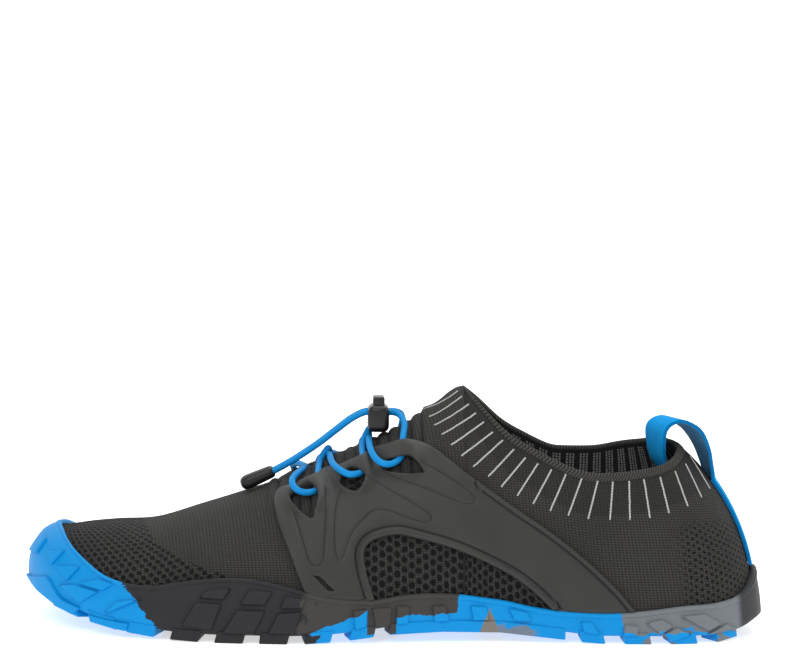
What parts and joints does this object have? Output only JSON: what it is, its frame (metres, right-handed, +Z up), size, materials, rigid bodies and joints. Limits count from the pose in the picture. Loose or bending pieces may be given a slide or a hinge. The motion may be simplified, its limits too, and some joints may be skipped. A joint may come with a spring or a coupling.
{
  "type": "barefoot shoe",
  "caption": "Left barefoot shoe with a knitted sock upper, moulded side frames, a wrap-up lugged outsole, a heel pull loop and an elastic lace with a cord lock.",
  "frame": {"origin": "centre of the shoe's length and width, on the ground under the sole", "axes": "+Z up; the toe points along -X and the heel along +X; -Y is the lateral, outer side"},
  "size_m": [0.2864, 0.1026, 0.093],
  "materials": {
    "knit": "matte knit",
    "rubber": "matte",
    "frame": "matte",
    "blue_strap": "woven",
    "footbed": "matte",
    "lock": "satin"
  },
  "bodies": {
    "shoe": {"outsole": "rubber", "insole": "footbed", "upper": "knit", "cage_near": "frame", "cage_far": "frame", "pull_loop": "blue_strap", "lace_bar": "blue_strap", "lace_cross_1": "blue_strap", "lace_cross_2": "blue_strap", "lace_end_near": "blue_strap", "lace_end_far": "blue_strap", "lock_barrel": "lock", "cord_end": "lock"},
    "lock_plunger": {"lock_button": "lock"}
  },
  "joints": [
    {"name": "lock_press", "type": "slide", "parent": "shoe", "child": "lock_plunger", "axis": [0, 0, -1], "range_m": [0, 0.0025], "stiffness_N_per_m": 900, "springref_m": -0.001}
  ]
}
